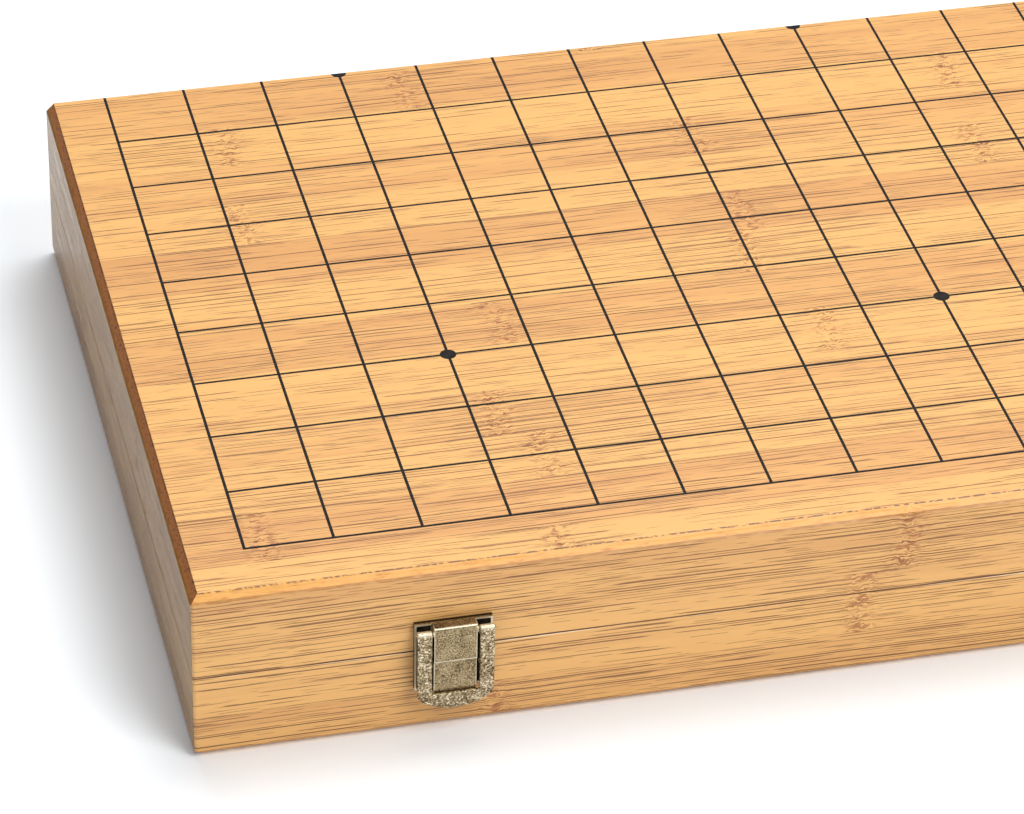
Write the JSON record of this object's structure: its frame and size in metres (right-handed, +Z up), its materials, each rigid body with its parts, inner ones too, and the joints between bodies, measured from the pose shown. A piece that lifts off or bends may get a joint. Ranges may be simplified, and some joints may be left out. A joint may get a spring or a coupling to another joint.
{
  "type": "folding go board case",
  "caption": "Folding bamboo game board case whose outer faces are the playing grid, with a stone drawer in each half, brass bail latches and butt hinges.",
  "frame": {"origin": "middle of the closed case's resting face, which is the lower half's playing face", "axes": "+Z up through the closed case, front with the latches toward -Y, fold and hinges toward +Y, drawers open toward +X"},
  "size_m": [0.4376, 0.2368, 0.0488],
  "materials": {
    "bamboo_veneer": "clear-lacquered horizontal bamboo veneer, satin",
    "bamboo_core": "lacquered laminated bamboo, showing at the bevels",
    "bamboo_panel": "bamboo ply, satin",
    "drawer_wood": "laminated bamboo, satin",
    "line_ink": "black line enamel in shallow grooves",
    "antique_brass": "stamped antique brass, speckled and dulled",
    "screw_steel": "brassed steel wood screws",
    "magnet": "nickel-plated disc magnets",
    "rubber_feet": "black rubber bumpers"
  },
  "bodies": {
    "lower_case": {"lower_play_veneer": "bamboo_veneer", "lower_grid_lines": "line_ink", "lower_core_panel": "bamboo_core", "lower_inner_panel": "bamboo_panel", "lower_front_rail": "bamboo_core", "lower_back_rail": "bamboo_core", "lower_left_rail": "bamboo_core", "lower_right_lip": "bamboo_core", "lower_case_magnet": "magnet", "lower_front_veneer": "bamboo_veneer", "lower_side_veneers": "bamboo_veneer", "lower_feet": "rubber_feet", "left_latch_keeper_plate": "antique_brass", "right_latch_keeper_plate": "antique_brass", "latch_lower_screws": "screw_steel", "left_hinge_lower_leaf": "antique_brass", "right_hinge_lower_leaf": "antique_brass", "left_hinge_pin": "antique_brass", "right_hinge_pin": "antique_brass", "hinge_lower_screws": "screw_steel"},
    "upper_case": {"upper_play_veneer": "bamboo_veneer", "upper_grid_lines": "line_ink", "upper_core_panel": "bamboo_core", "upper_inner_panel": "bamboo_panel", "upper_front_rail": "bamboo_core", "upper_back_rail": "bamboo_core", "upper_left_rail": "bamboo_core", "upper_right_lip": "bamboo_core", "upper_case_magnet": "magnet", "upper_front_veneer": "bamboo_veneer", "upper_side_veneers": "bamboo_veneer", "upper_feet": "rubber_feet", "left_latch_flap_plate": "antique_brass", "right_latch_flap_plate": "antique_brass", "left_latch_pins": "antique_brass", "right_latch_pins": "antique_brass", "latch_upper_screws": "screw_steel", "left_hinge_upper_leaf": "antique_brass", "right_hinge_upper_leaf": "antique_brass", "hinge_upper_screws": "screw_steel"},
    "lower_drawer": {"lower_drawer_front": "drawer_wood", "lower_drawer_bottom": "drawer_wood", "lower_drawer_side_front": "drawer_wood", "lower_drawer_side_back": "drawer_wood", "lower_drawer_back": "drawer_wood", "lower_drawer_magnet": "magnet", "lower_drawer_knob": "antique_brass", "lower_drawer_knob_screw": "screw_steel"},
    "upper_drawer": {"upper_drawer_front": "drawer_wood", "upper_drawer_bottom": "drawer_wood", "upper_drawer_side_front": "drawer_wood", "upper_drawer_side_back": "drawer_wood", "upper_drawer_back": "drawer_wood", "upper_drawer_magnet": "magnet", "upper_drawer_knob": "antique_brass", "upper_drawer_knob_screw": "screw_steel"},
    "left_bail": {"left_latch_bail": "antique_brass"},
    "right_bail": {"right_latch_bail": "antique_brass"}
  },
  "joints": [
    {"name": "fold", "type": "hinge", "parent": "lower_case", "child": "upper_case", "pos_m": [0, 0.1154, 0.0244], "axis": [-1, 0, 0], "range_deg": [0, 180]},
    {"name": "lower_drawer_slide", "type": "slide", "parent": "lower_case", "child": "lower_drawer", "axis": [1, 0, 0], "range_m": [0, 0.36]},
    {"name": "upper_drawer_slide", "type": "slide", "parent": "upper_case", "child": "upper_drawer", "axis": [1, 0, 0], "range_m": [0, 0.36]},
    {"name": "left_bail_swing", "type": "hinge", "parent": "upper_case", "child": "left_bail", "pos_m": [-0.15025, -0.11885, 0.0317], "axis": [-1, 0, 0], "range_deg": [0, 165]},
    {"name": "right_bail_swing", "type": "hinge", "parent": "upper_case", "child": "right_bail", "pos_m": [0.15025, -0.11885, 0.0317], "axis": [-1, 0, 0], "range_deg": [0, 165]}
  ]
}
